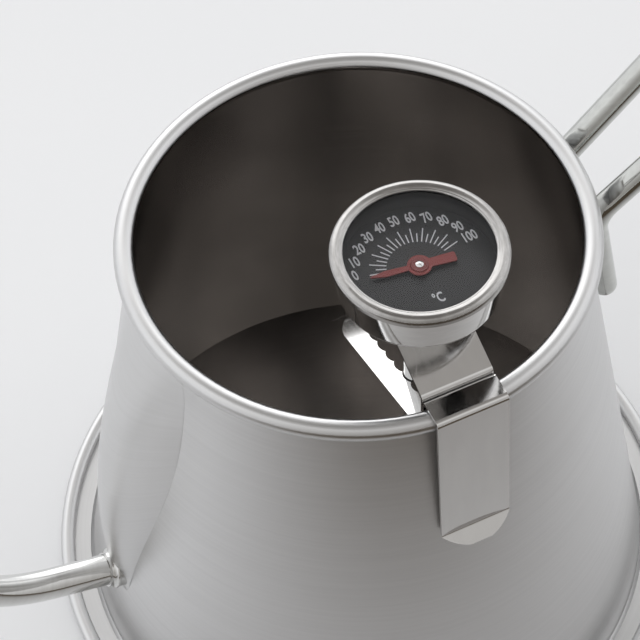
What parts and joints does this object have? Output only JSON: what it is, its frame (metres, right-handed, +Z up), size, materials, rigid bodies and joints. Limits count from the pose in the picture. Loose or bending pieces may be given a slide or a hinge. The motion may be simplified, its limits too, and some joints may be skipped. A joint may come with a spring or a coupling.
{
  "type": "gooseneck kettle",
  "caption": "Open tapered pour-over kettle with rolled rim, brimmed base, thin gooseneck spout, bent-rod handle and a dial thermometer clipped on the rim.",
  "frame": {"origin": "centre of the underside of the base", "axes": "+Z up, +X towards the spout, -X towards the handle, thermometer on the rim at +Y"},
  "size_m": [0.2762, 0.142, 0.1332],
  "materials": {
    "satin_steel": "satin, brushed round the body",
    "polished_steel": "bright drawn tube",
    "rod_steel": "fine satin rod",
    "clip_steel": "polished spring strip",
    "case_steel": "mirror polished",
    "stem_steel": "drawn tube",
    "lens_glass": "clear",
    "seal_rubber": "matt",
    "dial_black": "semi-matt printed face",
    "pointer_red": "satin paint",
    "pin_bright": "bright",
    "bush_brass": "turned",
    "coil_metal": "rolled bimetal"
  },
  "bodies": {
    "kettle": {"body_shell": "satin_steel", "base_pan": "satin_steel", "base_weld": "satin_steel", "spout_nose": "satin_steel", "spout_collar": "polished_steel", "spout_tube": "polished_steel", "handle_loop": "rod_steel", "handle_welds": "rod_steel"},
    "clip": {"rim_hook": "clip_steel", "stem_clip": "clip_steel", "clip_rivets": "clip_steel"},
    "thermometer": {"case_cup": "case_steel", "bezel_ring": "case_steel", "lens": "lens_glass", "lens_gasket": "seal_rubber", "dial_ring": "dial_black", "dial_plate": "dial_black", "dial_support": "case_steel", "stem_ferrule": "case_steel", "stem_tube": "stem_steel", "stem_plug": "stem_steel", "upper_bush": "bush_brass", "lower_bush": "bush_brass", "bimetal_coil": "coil_metal"},
    "movement": {"spindle": "stem_steel", "pointer": "pointer_red", "pointer_boss": "pointer_red", "pointer_pin": "pin_bright"}
  },
  "joints": [
    {"name": "clip_lift", "type": "slide", "parent": "kettle", "child": "clip", "axis": [0, 0, 1], "range_m": [0, 0.1]},
    {"name": "stem_slide", "type": "slide", "parent": "clip", "child": "thermometer", "axis": [0, 0, 1], "range_m": [-0.002, 0.06]},
    {"name": "pointer_turn", "type": "hinge", "parent": "thermometer", "child": "movement", "pos_m": [0, 0.0266, 0.1277], "axis": [0, 0, -1], "range_deg": [-5, 160]}
  ]
}
